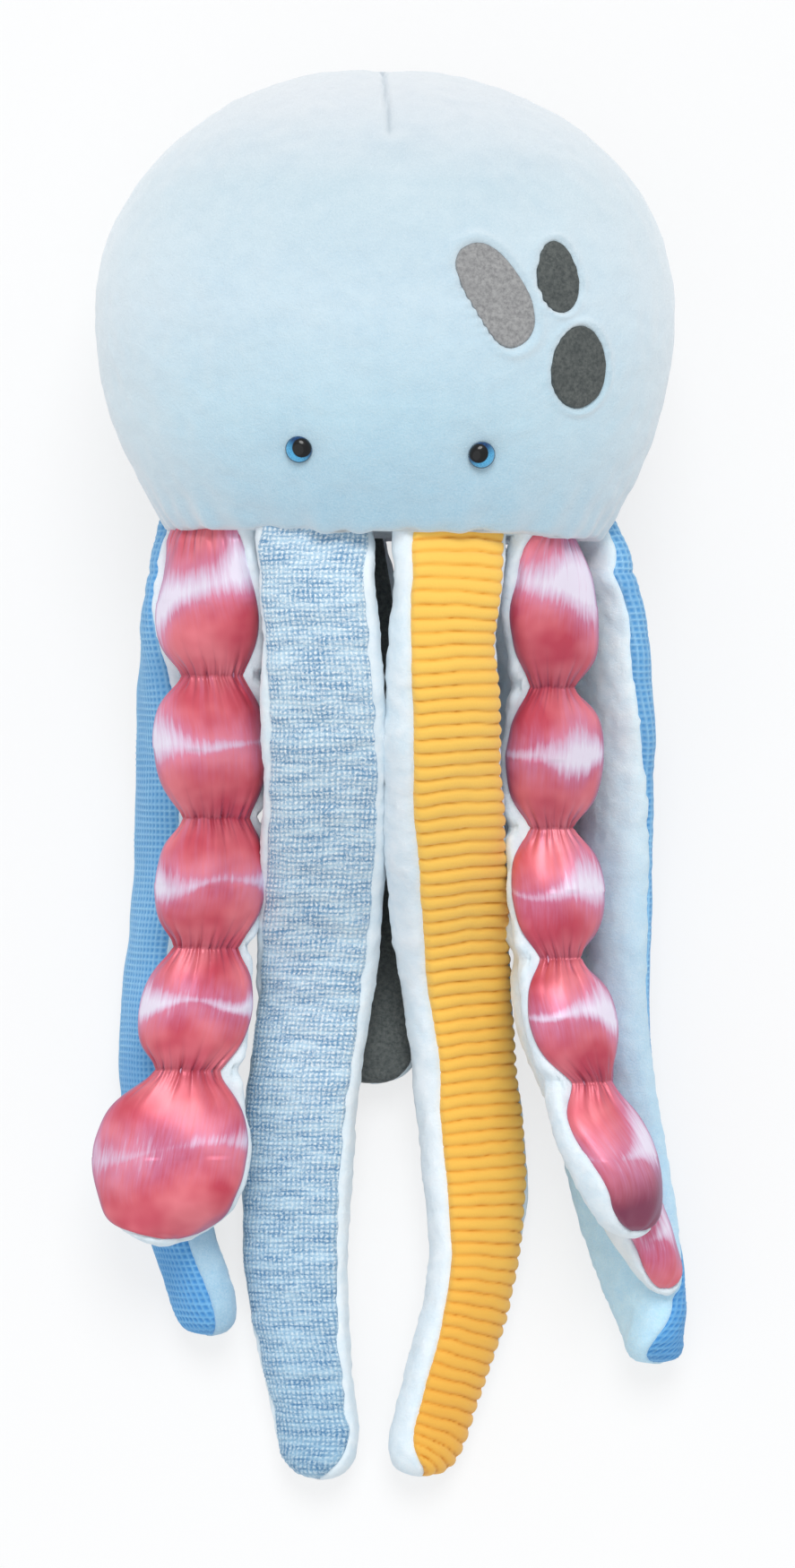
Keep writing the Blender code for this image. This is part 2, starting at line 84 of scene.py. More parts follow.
# How much tighter the satin is drawn in at its necks, and how far each neck lies to the right
PINCHES = {"satin_left": (0.13, (0.0050, 0.0030, 0.0022, 0.0030)),
           "satin_right": (0.24, (-0.0050, -0.0042, -0.0045, -0.0005)),
           "satin_rear": (0.14, (0.0, 0.0, 0.0, 0.0))}

# First beads, as full under the rim as in their middle: move and widening at the root and on the bead
FIRST_BEADS = {"satin_left": ((-0.0015, 0.0060), (0.0012, 0.0015)),
               "satin_right": ((-0.0040, 0.0045), (-0.0048, 0.0010))}

# Side of each shoulder, and how far it is drawn in towards the head
SHOULDERS = {"waffle_left": (-1, 0.004), "waffle_right": (1, 0.011)}

# Pile and cloth: how far each stands off, and how deep it lies under another
PILE = 0.0022
TUFT = 0.0011
CLOTH = 0.0014
CLOTH_DEPTH = 0.0006
UNDER_PATCH = -0.0022
UNDER_SATIN = -0.0030
UNDER_FACE = -0.0012

STITCH = 0.0029
WAFFLE_CELL = 0.0036
RIB_PITCH = 0.0073

# Tentacle meshes begin above the rim, inside the head, and end in a round tip
ROOT_TUCK = -0.006
FRONT_ROOT_TUCK = -0.003
SHOULDER_TUCK = -0.0155
TIP = 0.022
HEM = 0.0008
SATIN_HEM = 0.0046

# Head: its patches, its rounded rim and its eyes
PATCHES = {"grey_patch_light": "light_grey_pile", "grey_patch_upper": "dark_grey_pile",
           "grey_patch_lower": "dark_grey_pile"}
RIM_DROP = 0.0035
RIM_ROUND = 0.0055
EYE_RADIUS = 0.0076
EYE_SINK = 0.0016
EYE_EDGE = 0.0014
EYE_DOME = 0.0046

WHITE = (1.0, 1.0, 1.0, 1.0)


def linear(red, green, blue):
    """Linear colour of sRGB values given from 0 to 255."""
    values = []
    for value in (red, green, blue):
        share = value / 255
        values.append(share / 12.92 if share <= 0.04045 else ((share + 0.055) / 1.055) ** 2.4)
    return (*values, 1.0)


# Curves between 0 and 1


def smoothstep(value):
    share = np.clip(value, 0.0, 1.0)
    return share * share * (3 - 2 * share)


def rise(value, start, length):
    """Smooth step up that begins at start."""
    return smoothstep((value - start) / length)


def fall(value, start, length):
    """Smooth step down that begins at start."""
    return 1 - rise(value, start, length)


def bell(value, middle, breadth):
    return np.exp(-((value - middle) / breadth) ** 2)


def swell(value):
    """Round edge: steep at 0 and level at 1."""
    return np.sqrt(np.clip(value, 0, 1))


def mix(first, second, share):
    return first + (second - first) * share


# Seeded noise, whose lattice lies askew so that no streaks follow the axes

ASKEW = np.array(Euler((0.6, 0.45, 0.8)).to_matrix())


def lattice(ix, iy, iz, seed):
    """Pseudo-random values from 0 to 1 on whole-number points."""
    mixed = (ix * 73856093) ^ (iy * 19349663) ^ (iz * 83492791) ^ (seed * 2654435761)
    mixed = (mixed ^ (mixed >> 13)) * 1274126177
    mixed = mixed & 0x7FFFFFFF
    return ((mixed ^ (mixed >> 16)) & 0xFFFFF) / 0xFFFFF


def noise(points, size, seed):
    """Smooth noise from -1 to 1 in space, with bumps about size across."""
    scaled = points @ ASKEW / size
    whole = np.floor(scaled).astype(np.int64)
    part = scaled - whole
    part = part * part * (3 - 2 * part)
    total = 0.0
    for corner in np.ndindex(2, 2, 2):
        weight = 1.0
        for axis in range(3):
            weight = weight * (part[..., axis] if corner[axis] else 1 - part[..., axis])
        total = total + weight * lattice(*[whole[..., axis] + corner[axis] for axis in range(3)], seed)
    return 2 * total - 1


def flat_noise(first, second, size, seed):
    """Noise over two numbers, which may run along different axes of a grid."""
    first, second = np.broadcast_arrays(first, second)
    return noise(np.stack([first, second, np.zeros(first.shape)], axis=-1), size, seed)


def tufts(points, seed):
    """Height of short pile: clumps of a few millimetres with finer hairs on them."""
    coarse = noise(points, 0.0075, seed)
    middle = noise(points, 0.0042, seed + 1)
    fine = noise(points, 0.0024, seed + 2)
    return 0.45 * coarse + 0.45 * middle + 0.35 * fine


# Meshes


def normals_of(grid, around=False):
    """Outward directions of a grid of points, rows along and columns across."""
    if around:
        padded = np.concatenate([grid[:, -1:], grid, grid[:, :1]], axis=1)
        side = padded[:, 2:] - padded[:, :-2]
    else:
        side = np.gradient(grid, axis=1)
    down = np.gradient(grid, axis=0)
    normals = np.cross(side, down)
    length = np.linalg.norm(normals, axis=2, keepdims=True)
    return normals / np.maximum(length, 1e-12)


def keep_above_floor(grid):
    grid[..., 2] = np.maximum(grid[..., 2], 0.0)


def tube_piece(name, grid, uvs=None):
    """Closed tube from a grid that runs round, with capped ends; it rides on the one body."""
    rows, columns, _ = grid.shape
    i, j = np.meshgrid(np.arange(rows - 1), np.arange(columns), indexing="ij")
    here = i * columns + j
    beside = i * columns + (j + 1) % columns
    faces = np.stack([here, beside, beside + columns, here + columns], axis=-1).reshape(-1, 4).tolist()
    faces += [list(range(columns - 1, -1, -1)), list(range((rows - 1) * columns, rows * columns))]
    mesh = bpy.data.meshes.new(name)
    mesh.from_pydata(grid.reshape(-1, 3).tolist(), [], faces)
    if uvs is not None:
        layer = mesh.uv_layers.new(name="weave")
        loops = np.empty(len(mesh.loops), dtype=np.int64)
        mesh.loops.foreach_get("vertex_index", loops)
        layer.data.foreach_set("uv", uvs.reshape(-1, 2)[loops].ravel())
    mesh.validate()
    mesh.shade_smooth()
    piece = bpy.data.objects.new(name, mesh)
    bpy.context.scene.collection.objects.link(piece)
    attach(piece, "root")
    return piece


# Lines and sizes read from the frame's solids


def node_mesh(node):
    """Points and edges of a solid."""
    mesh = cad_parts[node].data
    points = np.empty(len(mesh.vertices) * 3)
    mesh.vertices.foreach_get("co", points)
    edges = np.empty(len(mesh.edges) * 2, dtype=np.int64)
    mesh.edges.foreach_get("vertices", edges)
    return points.reshape(-1, 3), edges.reshape(-1, 2)


def box_middle(node):
    low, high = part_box(node)
    return (np.array(low) + np.array(high)) / 2


def cut(mesh, y):
    """Points where a solid's edges pass through the plane at y."""
    points, edges = mesh
    first = points[edges[:, 0]]
    second = points[edges[:, 1]]
    crossing = (first[:, 1] - y) * (second[:, 1] - y) < 0
    first = first[crossing]
    second = second[crossing]
    share = (y - first[:, 1]) / (second[:, 1] - first[:, 1])
    return first + (second - first) * share[:, None]


def directions_of(turn):
    """Directions across and out of a face that is turned about the length."""
    across = np.stack([np.cos(turn), 0 * turn, -np.sin(turn)], axis=1)
    return across, np.stack([np.sin(turn), 0 * turn, np.cos(turn)], axis=1)


def half_and_middle(values):
    return (values.max() - values.min()) / 2, (values.max() + values.min()) / 2


def blur(values, count):
    """Running mean along the first axis, twice, with the ends held."""
    for _ in range(2):
        padding = [(count, count)] + [(0, 0)] * (values.ndim - 1)
        padded = np.pad(values, padding, mode="reflect", reflect_type="odd")
        sums = np.cumsum(np.concatenate([padded[:1] * 0, padded]), axis=0)
        window = 2 * count + 1
        values = (sums[window:] - sums[:-window]) / window
    return values


class Line:
    """Middle line, face direction and half sizes of a tentacle, read at even steps below the rim."""

    STEP = 0.002
    NECK_LENGTH = 0.013

    def __init__(self, name):
        body = node_mesh(name + "_tentacle_body")
        face = node_mesh(name + "_tentacle_face")
        self.name = name
        self.satin = name in PINCHES
        self.top = body[0][:, 1].max()
        self.reach = self.top - body[0][:, 1].min()
        self.at = np.linspace(0.0005, self.reach - 0.0006, int(self.reach / self.STEP))
        self.start = ROOT_TUCK
        self.hem = SATIN_HEM if self.satin else HEM
        self.measure(body, face)
        self.halves[:, 0] /= math.cos(math.radians(SOLID_EDGES[name])) ** SQUARENESS
        if self.satin:
            self.gather()
        if name in ("knit", "ribbed", "grey_rear"):
            self.follow_photo()
        if name in SHOULDERS:
            self.add_shoulder()

    def measure(self, body, face):
        """Turns, centres and half sizes of the solids' sections."""
        cuts = []
        turns = []
        for distance in self.at:
            outline = cut(body, self.top - distance)
            cloth = cut(face, self.top - distance)
            cuts.append(outline)
            if len(cloth) > 3:
                towards = cloth.mean(axis=0) - (outline.max(axis=0) + outline.min(axis=0)) / 2
                turns.append(math.atan2(towards[0], towards[2]))
            else:
                turns.append(turns[-1])
        self.turns = blur(np.unwrap(np.array(turns)), 8)
        centres = []
        halves = []
        for outline, across, outward in zip(cuts, *directions_of(self.turns)):
            half_wide, middle_wide = half_and_middle(outline @ across)
            half_thick, middle_thick = half_and_middle(outline @ outward)
            halves.append((half_wide, half_thick))
            centres.append(across * middle_wide + outward * middle_thick)
        self.centres = blur(np.array(centres), 9)
        self.halves = np.array(halves)

    def shift(self, sideways, wider):
        """Move the line to the right and widen it, by metres that vary along it."""
        self.centres[:, 0] += sideways
        self.halves[:, 0] += wider

    def gather(self):
        """Satin beads with the necks between them drawn in."""
        if self.name in FIRST_BEADS:
            root, bead = FIRST_BEADS[self.name]
            near_root = fall(self.at, 0.0, 0.034)
            first = fall(self.at, 0.045, 0.04)
            self.shift(root[0] * near_root + bead[0] * first, root[1] * near_root + bead[1] * first)
        self.halves[:, 0] = blur(self.halves[:, 0], 2)
        self.halves[:, 1] = blur(self.halves[:, 1], 7)
        share, shifts = PINCHES[self.name]
        for neck, shift in zip(self.necks(), shifts):
            near = bell(self.at, neck, self.NECK_LENGTH)
            self.halves[:, 0] *= 1 - share * near
            self.centres[:, 0] += shift * near

    def follow_photo(self):
        """Small moves and widenings where the cloth bulges past the plain solid."""
        if self.name == "grey_rear":
            root = fall(self.at, 0.0, 0.06)
            self.shift(0.0065 * root, 0.0030 * root)
            return
        if self.name == "ribbed":
            upper = rise(self.at, 0.05, 0.06) * (1 - 0.65 * rise(self.at, 0.24, 0.08))
            bulge = upper * fall(self.at, 0.37, 0.04)
            near_root = fall(self.at, 0.0, 0.034)
            self.shift(0.0040 * bulge - 0.0034 * near_root, 0.0015 * bulge + 0.0034 * near_root)
        else:
            tip = rise(self.at, 0.42, 0.10)
            upper = rise(self.at, 0.05, 0.05) * fall(self.at, 0.22, 0.06)
            self.shift(0.0030 * tip - 0.0018 * upper, 0.0018 * upper - 0.0034 * tip)
        # The front ones go in under the pile of the head's rim
        self.centres[:, 2] -= 0.0064 * fall(self.at, -0.002, 0.024)
        self.start = FRONT_ROOT_TUCK

    def add_shoulder(self):
        """The side tentacles bulge out beside the corners of the head and round off behind it."""
        extra = np.linspace(-0.016, -0.001, 8)
        self.at = np.concatenate([extra, self.at])
        self.turns, self.centres, self.halves = [
            np.concatenate([np.repeat(values[:1], len(extra), axis=0), values])
            for values in (self.turns, self.centres, self.halves)]
        side, pull = SHOULDERS[self.name]
        below = self.at > 0.024
        centre = self.centres[below][0, 0]
        thick = self.halves[below][0, 1]
        drawn_in = pull * smoothstep((0.022 - self.at) / 0.028)
        moved = centre + side * (thick - self.halves[:, 1] - drawn_in)
        self.centres[:, 0] = np.where(below, self.centres[:, 0], moved)
        self.halves *= quarter_round(np.minimum(self.at, 0) / 0.0165)[:, None]
        self.start = SHOULDER_TUCK

    def read(self, distances):
        """Centre, across, outward, half width and half thickness at distances below the rim."""
        places = [np.interp(distances, self.at, self.centres[:, axis]) for axis in (0, 2)]
        centre = np.stack([places[0], self.top - distances, places[1]], axis=1)
        across, outward = directions_of(np.interp(distances, self.at, self.turns))
        # The last millimetres shrink to a closed round end
        closed = quarter_round(((distances - (self.reach - 0.006)) / 0.0062).clip(0))
        half_width = np.interp(distances, self.at, self.halves[:, 0]) * closed
        half_thick = np.interp(distances, self.at, self.halves[:, 1]) * closed
        return centre, across, outward, half_width, half_thick

    def necks(self):
        """Distances of the tight places between beads."""
        width = blur(self.halves[:, 0], 3)
        found = []
        for i in range(6, len(width) - 12):
            if width[i] == width[i - 6:i + 7].min() and width[i] < 0.85 * width.max():
                if self.at[i] > 0.03 and (not found or self.at[i] - found[-1] > 0.02):
                    found.append(self.at[i])
        return found


def quarter_round(into):
    """Half size along a round end: 1 at its start and nearly 0 at its tip."""
    return np.sqrt(np.clip(1 - into ** 2, 0.02, 1))


def rows_along(start, reach, step, tip_rows):
    """Distances of a mesh's rows: even, then closer together over the round tip."""
    body = np.arange(start, reach - TIP - 0.5 * step, step)
    angles = np.linspace(0.0, math.radians(86), tip_rows)
    return np.concatenate([body, reach - TIP + TIP * np.sin(angles)])


def superellipse(angles):
    across = np.sign(np.cos(angles)) * np.abs(np.cos(angles)) ** SQUARENESS
    outward = np.sign(np.sin(angles)) * np.abs(np.sin(angles)) ** SQUARENESS
    return across, outward


def section_grid(centre, across, outward, half_widths, half_thick, angles):
    """Points of the section at each row; the half widths are for its right and its left."""
    sideways, forward = superellipse(angles)
    wide = sideways * np.where(sideways > 0, half_widths[0][:, None], half_widths[1][:, None])
    thick = forward * half_thick[:, None]
    return (centre[:, None, :] + wide[..., None] * across[:, None, :]
            + thick[..., None] * outward[:, None, :])


# Materials


class Nodes:
    """Short calls for a material's nodes."""

    def __init__(self, name):
        self.material = bpy.data.materials.new(name)
        self.material.use_nodes = True
        self.tree = self.material.node_tree
        self.shader = self.tree.nodes["Principled BSDF"]

    def add(self, kind, inputs=None, **settings):
        node = self.tree.nodes.new("ShaderNode" + kind)
        for key, value in settings.items():
            setattr(node, key, value)
        for key, value in (inputs or {}).items():
            self.put(node.inputs[key], value)
        return node

    def put(self, socket, value):
        if isinstance(value, bpy.types.NodeSocket):
            self.tree.links.new(value, socket)
        else:
            socket.default_value = value

    def set(self, **inputs):
        for key, value in inputs.items():
            self.put(self.shader.inputs[key.replace("_", " ")], value)

    def place(self, kind="Object"):
        return self.add("TexCoord").outputs[kind]

    def part(self, vector, axis):
        return self.add("SeparateXYZ", {"Vector": vector}).outputs[axis]

    def stretch(self, vector, lengthwise):
        scale = (1.0, lengthwise, 1.0)
        return self.add("Mapping", {"Vector": vector, "Scale": scale}).outputs["Vector"]

    def noise(self, vector, scale, detail=3.0, roughness=0.55):
        found = self.add("TexNoise", {"Vector": vector, "Scale": scale, "Detail": detail,
                                      "Roughness": roughness})
        return found.outputs["Fac"]

    def spread(self, value, low, high, out_low=0.0, out_high=1.0):
        found = self.add("MapRange", {"Value": value, "From Min": low, "From Max": high,
                                      "To Min": out_low, "To Max": out_high})
        return found.outputs["Result"]

    def math(self, operation, first, second=0.0):
        found = self.add("Math", operation=operation)
        self.put(found.inputs[0], first)
        self.put(found.inputs[1], second)
        return found.outputs[0]

    def times(self, first, second):
        return self.math("MULTIPLY", first, second)

    def blend(self, share, first, second):
        """Mix of two colours, of which one with three numbers is in sRGB from 0 to 255."""
        found = self.add("Mix", data_type="RGBA")
        self.put(found.inputs["Factor"], share)
        for key, colour in (("A", first), ("B", second)):
            plain = isinstance(colour, tuple) and len(colour) == 3
            self.put(found.inputs[key], linear(*colour) if plain else colour)
        return found.outputs["Result"]

    def tinted(self, base, tint):
        """Product of two colours."""
        found = self.add("Mix", {"Factor": 1.0, "A": base, "B": tint}, data_type="RGBA",
                         blend_type="MULTIPLY")
        return found.outputs["Result"]

    def ramp(self, value, stops):
        found = self.add("ValToRGB", {"Fac": value})
        elements = found.color_ramp.elements
        for place, _ in stops[2:]:
            elements.new(place)
        for element, (place, colour) in zip(elements, stops):
            element.position = place
            element.color = (*colour, 1.0)
        return found.outputs["Color"]

    def along_toy(self, low, high):
        """Rise from 0 to 1 between two distances from the tips towards the crown."""
        return self.spread(self.part(self.place(), "Y"), low, high)

    def tint_below(self, base, low, high, tint):
        """Tint a colour towards the tentacle tips."""
        return self.tinted(base, self.blend(self.along_toy(low, high), tint, WHITE))

    def flank(self):
        """How far a surface turns from the toy's front or back to its sides, from 0 to 1."""
        forward = self.part(self.place("Normal"), "Z")
        return self.math("SUBTRACT", 1.0, self.math("ABSOLUTE", forward))

    def bump(self, height, strength, distance):
        inputs = {"Height": height, "Strength": strength, "Distance": distance}
        return self.add("Bump", inputs).outputs["Normal"]

    def attribute(self, name):
        return self.add("Attribute", attribute_name=name).outputs["Fac"]

    def woven(self, base, height, strength, distance, roughness=0.9, sheen=0.2):
        """Dull cloth with a fine weave; returns the material."""
        self.set(Base_Color=base, Roughness=roughness, Sheen_Weight=sheen, Sheen_Roughness=0.5,
                 Specular_IOR_Level=0.2, Normal=self.bump(height, strength, distance))
        return self.material


def plush_material(name, colour, deep, pale, painted_shade_tints=None, side=None):
    """Short dense pile: soft mottling, fine hairs, painted shade along its height, painted sheen on
    its sides and painted shade in a groove.
    """
    n = Nodes(name)
    place = n.place()
    clumps = n.noise(place, 95.0, 4.0, 0.6)
    drift = n.noise(place, 14.0, 2.0)
    hairs = n.noise(place, 900.0, 3.0, 0.7)
    base = n.blend(n.spread(clumps, 0.36, 0.66), deep, colour)
    base = n.blend(n.spread(drift, 0.42, 0.62, 0.0, 0.35), base, pale)
    if painted_shade_tints:
        low, high, stops = painted_shade_tints
        # Painted shade along the toy's length
        base = n.tinted(base, n.ramp(n.along_toy(low, high), stops))
    if side:
        # Painted sheen, paler on the sides, and painted shade in the head's groove
        base = n.blend(n.times(n.flank(), 0.85), base, side)
        base = n.blend(n.times(n.attribute("crease_and_shade"), 0.26), base, (150, 170, 184))
    base = n.blend(n.spread(hairs, 0.35, 0.7, 0.0, 0.22), base, pale)
    height = n.math("ADD", n.times(hairs, 0.35), clumps)
    n.set(Base_Color=base, Roughness=1.0, Sheen_Weight=0.35, Sheen_Roughness=0.45,
          Sheen_Tint=(0.93, 0.97, 1.0, 1.0), Specular_IOR_Level=0.12,
          Normal=n.bump(height, 0.55, 0.0016))
    return n.material


def pile_material(name, colour, deep):
    """Cropped grey pile of the patches and the rear tentacle."""
    n = Nodes(name)
    place = n.place()
    grain = n.noise(place, 420.0, 3.0, 0.7)
    drift = n.noise(place, 60.0, 2.0)
    base = n.blend(n.spread(grain, 0.34, 0.64), deep, colour)
    base = n.blend(n.spread(drift, 0.4, 0.65, 0.0, 0.25), base, deep)
    # Painted shade in the sunk edge of each patch
    base = n.blend(n.times(n.attribute("sunk_edge_shade"), 0.55), base, (70, 84, 90))
    n.set(Base_Color=base, Roughness=0.95, Sheen_Weight=0.25, Sheen_Roughness=0.4,
          Specular_IOR_Level=0.15, Normal=n.bump(grain, 0.6, 0.0009))
    return n.material


def knit_material():
    """Mixed pale blue and white yarn: specks on stitches and darker cross bands."""
    n = Nodes("melange_knit")
    uv = n.place("UV")
    bands = n.noise(n.stretch(uv, 4.5), 44.0, 5.0, 0.72)
    specks = n.noise(uv, 760.0, 2.0, 0.6)
    yarn = n.math("ADD", n.attribute("stitch"), n.spread(specks, 0.3, 0.7, -0.5, 0.5))
    ground = n.blend(n.spread(bands, 0.40, 0.60), (106, 152, 190), (184, 214, 233))
    base = n.blend(n.spread(yarn, 0.22, 1.12), ground, (242, 250, 253))
    base = n.tint_below(base, -0.40, -0.16, (0.64, 0.76, 0.84, 1.0))
    return n.woven(base, specks, 0.35, 0.0006)


def waffle_material():
    """Blue waffle cloth: pale ridges round deeper blue cells."""
    n = Nodes("blue_waffle")
    place = n.place()
    drift = n.noise(place, 22.0, 3.0)
    thread = n.noise(place, 700.0, 2.0)
    base = n.blend(n.spread(n.attribute("ridge"), 0.0, 1.0), (74, 146, 206), (160, 212, 244))
    base = n.blend(n.spread(drift, 0.4, 0.65, 0.0, 0.3), base, (88, 154, 210))
    base = n.tint_below(base, -0.32, -0.10, (0.62, 0.82, 0.96, 1.0))
    return n.woven(base, thread, 0.3, 0.0005, roughness=0.92)


def rib_material():
    """Warm yellow cloth: fine weave, with painted shade in the grooves between its ribs and paler
    crowns.
    """
    n = Nodes("yellow_rib")
    place = n.place()
    weave = n.noise(place, 800.0, 2.0, 0.6)
    drift = n.noise(place, 18.0, 2.0)
    # Painted shade: darker orange in the grooves between the ribs
    base = n.blend(n.spread(n.attribute("crown"), 0.0, 0.85), (236, 156, 40), (252, 204, 96))
    base = n.blend(n.spread(drift, 0.42, 0.65, 0.0, 0.3), base, (248, 192, 84))
    base = n.tint_below(base, -0.36, -0.10, (0.90, 0.78, 0.66, 1.0))
    return n.woven(base, weave, 0.35, 0.0005, sheen=0.25)


def satin_material():
    """Shot satin: coral thread with a painted white and lilac highlight across the middle of each
    bead, and painted violet sheen on its flanks.
    """
    n = Nodes("coral_satin")
    uv = n.place("UV")
    streaks = n.noise(n.stretch(uv, 0.08), 600.0, 3.0, 0.6)
    clouds = n.noise(n.place(), 34.0, 2.0, 0.5)
    weave = n.noise(uv, 1600.0, 2.0)
    threads = n.math("ADD", n.times(streaks, 0.5), n.times(weave, 0.35))
    flank = n.flank()
    base = n.blend(n.spread(clouds, 0.35, 0.65), (205, 66, 84), (238, 124, 133))
    # Painted sheen: violet and darker on the flanks
    base = n.blend(n.spread(flank, 0.45, 0.98, 0.0, 0.80), base, (142, 72, 124))
    base = n.blend(n.times(n.attribute("shade"), 0.85), base, (104, 40, 74))
    # Painted highlight: a soft band about the middle of a bead, white inside and lilac at its borders,
    # fading on the flanks
    glow = n.times(n.attribute("glow"), n.spread(flank, 0.98, 0.60))
    frayed = n.times(n.spread(streaks, 0.30, 0.70, -0.16, 0.16), n.spread(glow, 0.0, 0.35))
    glow = n.math("ADD", glow, frayed)
    base = n.blend(n.spread(glow, 0.05, 0.75, 0.0, 0.80), base, (214, 160, 208))
    base = n.blend(n.spread(glow, 0.38, 0.95, 0.0, 0.92), base, (242, 236, 250))
    tangent = n.add("Tangent", direction_type="UV_MAP", uv_map="weave").outputs["Tangent"]
    n.set(Base_Color=base, Roughness=0.38, Metallic=0.25, Specular_IOR_Level=0.8,
          Specular_Tint=(0.84, 0.84, 1.0, 1.0), Anisotropic=0.7, Tangent=tangent,
          Sheen_Weight=0.3, Sheen_Roughness=0.3, Sheen_Tint=(0.74, 0.70, 1.0, 1.0),
          Normal=n.bump(threads, 0.16, 0.0008))
    return n.material


def eye_material():
    """Glossy dome: black pupil, flecked blue ring with painted light that makes it lighter below, dark
    rim.
    """
    n = Nodes("eye_gloss")
    fleck = n.noise(n.place(), 1500.0, 3.0, 0.7)
    # Painted light: the ring is lighter below and outward
    ring = n.blend(n.attribute("glow"), (10, 42, 84), (96, 190, 236))
    ring = n.blend(n.spread(fleck, 0.42, 0.60, 0.0, 0.5), ring, (22, 92, 156))
    base = n.blend(n.attribute("pupil"), ring, (4, 6, 10))
    base = n.blend(n.attribute("rim"), base, (18, 34, 52))
    n.set(Base_Color=base, Roughness=0.3, Specular_IOR_Level=0.15, Coat_Weight=0.7,
          Coat_Roughness=0.03, Coat_IOR=1.45)
    return n.material


def dress(piece, material, node):
    """Give a piece its material and hide the solid of the node it stands for."""
    piece.data.materials.append(material)
    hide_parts(node)


def add_value(piece, name, values):
    """A number for each vertex that the material reads."""
    layer = piece.data.attributes.new(name, "FLOAT", "POINT")
    layer.data.foreach_set("value", values.ravel().astype(np.float32))


# Head


class Head:
    """The head's outline, read from its solid: an ellipse above the widest line, a skirt below."""

    def __init__(self):
        mesh = node_mesh("head")
        points = mesh[0]
        low = points.min(axis=0)
        high = points.max(axis=0)
        self.rim = low[1]
        self.crown = high[1]
        self.middle_x = (low[0] + high[0]) / 2
        self.half_width = (high[0] - low[0]) / 2
        widest = points[points[:, 0] > high[0] - 0.0005]
        self.wide_at = widest[:, 1].mean()
        self.middle_z = widest[:, 2].mean()
        self.half_depth = high[2] - self.middle_z
        near_rim = cut(mesh, self.rim + 0.007)
        self.rim_half_width = (near_rim[:, 0].max() - near_rim[:, 0].min()) / 2
        self.rim_half_depth = near_rim[:, 2].max() - self.middle_z

    def halves(self, y):
        """Half width and half depth at a height."""
        upper = np.clip((y - self.wide_at) / (self.crown - self.wide_at), 0.0, 1.0)
        lower = np.clip((self.wide_at - y) / (self.wide_at - self.rim), 0.0, 1.0)
        pairs = ((self.half_width, self.rim_half_width), (self.half_depth, self.rim_half_depth))
        return [np.where(y > self.wide_at, widest * np.sqrt(1 - upper ** 2),
                         mix(widest, at_rim, lower ** 2)) for widest, at_rim in pairs]

    def front(self, x, y):
        """Point on the front of the head above the plan place x, y."""
        width, depth = self.halves(np.asarray(y, float))
        up = np.sqrt(np.clip(1 - ((x - self.middle_x) / width) ** 2, 0.0, 1.0))
        return np.stack([x + 0 * up, y + 0 * up, self.middle_z + depth * up], axis=-1)

    def normal(self, x, y):
        step = 0.0008
        along_x = self.front(x + step, y) - self.front(x - step, y)
        along_y = self.front(x, y + step) - self.front(x, y - step)
        normal = np.cross(along_x, along_y)
        return normal / np.linalg.norm(normal, axis=-1, keepdims=True)


def dip(grid, centre, radius, depth):
    """Shallow round hollow in a surface about a point."""
    return -depth * bell(np.linalg.norm(grid - centre, axis=-1), 0.0, radius)


class Outline:
    """Middle of a patch in plan and how far its edge is from it in each direction."""

    BEHIND = 0.10
    FAR = 9.0

    def __init__(self, node):
        plan = node_mesh(node)[0][:, :2]
        self.node = node
        self.middle = (plan.max(axis=0) + plan.min(axis=0)) / 2
        hull = plan[convex_hull_2d(plan.tolist())] - self.middle
        self.directions = np.arctan2(hull[:, 1], hull[:, 0])
        self.reaches = np.linalg.norm(hull, axis=1)

    def reach(self, directions):
        if self.node != "grey_patch_light":
            return np.interp(directions, self.directions, self.reaches, period=2 * math.pi)
        # A bean more than an oval: full on its right, nearly straight on its left
        half = self.reaches.max()
        along = np.cos(directions + math.radians(64))
        beside = np.sin(directions + math.radians(64))
        right = beside > 0
        wide = half * np.where(right, 0.555 * (1 + 0.10 * along), 0.437 * (1 - 0.10 * along))
        power = np.where(right, 2.2, 3.0)
        return (np.abs(along / half) ** power + np.abs(beside / wide) ** power) ** (-1 / power)

    def share(self, grid):
        """Distance from the middle as a share of the way to the edge, on the front only."""
        offset = grid[..., :2] - self.middle
        edge = self.reach(np.arctan2(offset[..., 1], offset[..., 0]))
        share = np.linalg.norm(offset, axis=-1) / edge
        return np.where(grid[..., 2] > self.BEHIND, share, self.FAR)


